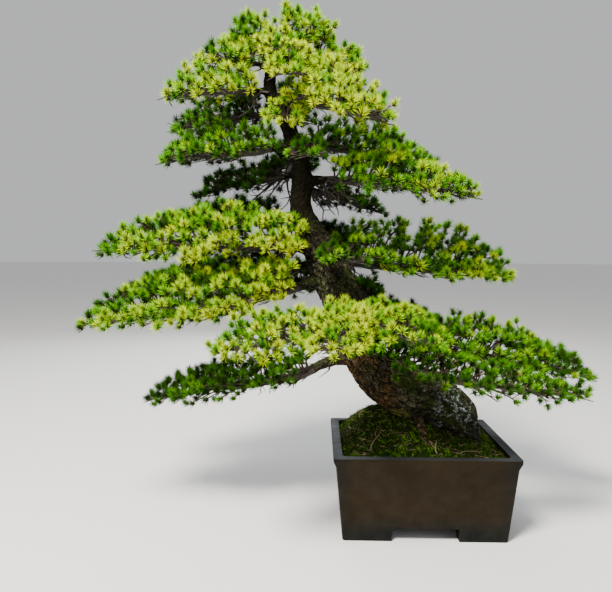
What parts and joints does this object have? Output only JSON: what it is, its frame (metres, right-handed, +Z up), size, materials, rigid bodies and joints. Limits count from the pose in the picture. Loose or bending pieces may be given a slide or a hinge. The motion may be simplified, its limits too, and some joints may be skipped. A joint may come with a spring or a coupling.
{
  "type": "japanese white pine bonsai",
  "caption": "Leaning japanese white pine bonsai with a thick trunk, layered pads of short needles and a pointed crown, rooted in mossy soil in a rectangular footed pot.",
  "frame": {"origin": "on the surface under the pot's feet, below the middle of the whole object's box; the pot stands to the right of it because the tree leans to the left", "axes": "+Z up; -Y toward the viewer of the tree's front; +X to the right, away from the lean of the trunk"},
  "size_m": [1.0636, 0.5966, 1.0389],
  "materials": {
    "ceramic": "satin",
    "plastic": "matte",
    "soil": "matte",
    "moss": "matte",
    "bark": "matte",
    "needles": "satin"
  },
  "bodies": {
    "root": {"pot": "ceramic", "drain_screen_1": "plastic", "drain_screen_2": "plastic", "soil": "soil", "moss": "moss", "trunk": "bark", "spray_left_low": "needles", "spray_front_low_left": "needles", "spray_front_low_centre": "needles", "spray_front_low_right": "needles", "spray_right_low": "needles", "spray_right_low_front": "needles", "spray_right_low_back": "needles", "spray_left_mid_low": "needles", "spray_left_mid_low_back": "needles", "spray_left_mid": "needles", "spray_left_mid_back": "needles", "spray_left_upper_low": "needles", "spray_left_upper": "needles", "spray_left_upper_back": "needles", "spray_left_top": "needles", "spray_left_crown": "needles", "spray_right_mid": "needles", "spray_right_upper": "needles", "spray_right_upper_low": "needles", "spray_right_upper_back": "needles", "spray_right_top": "needles", "spray_right_crown": "needles", "spray_front_mid": "needles", "spray_front_upper": "needles", "spray_front_top": "needles", "spray_front_crown": "needles", "spray_back_low": "needles", "spray_back_low_left": "needles", "spray_back_mid": "needles", "spray_back_upper": "needles", "spray_back_top": "needles", "spray_apex_left": "needles", "spray_apex_front": "needles", "spray_apex_right": "needles", "spray_apex_back": "needles", "spray_leader": "needles"}
  },
  "joints": []
}
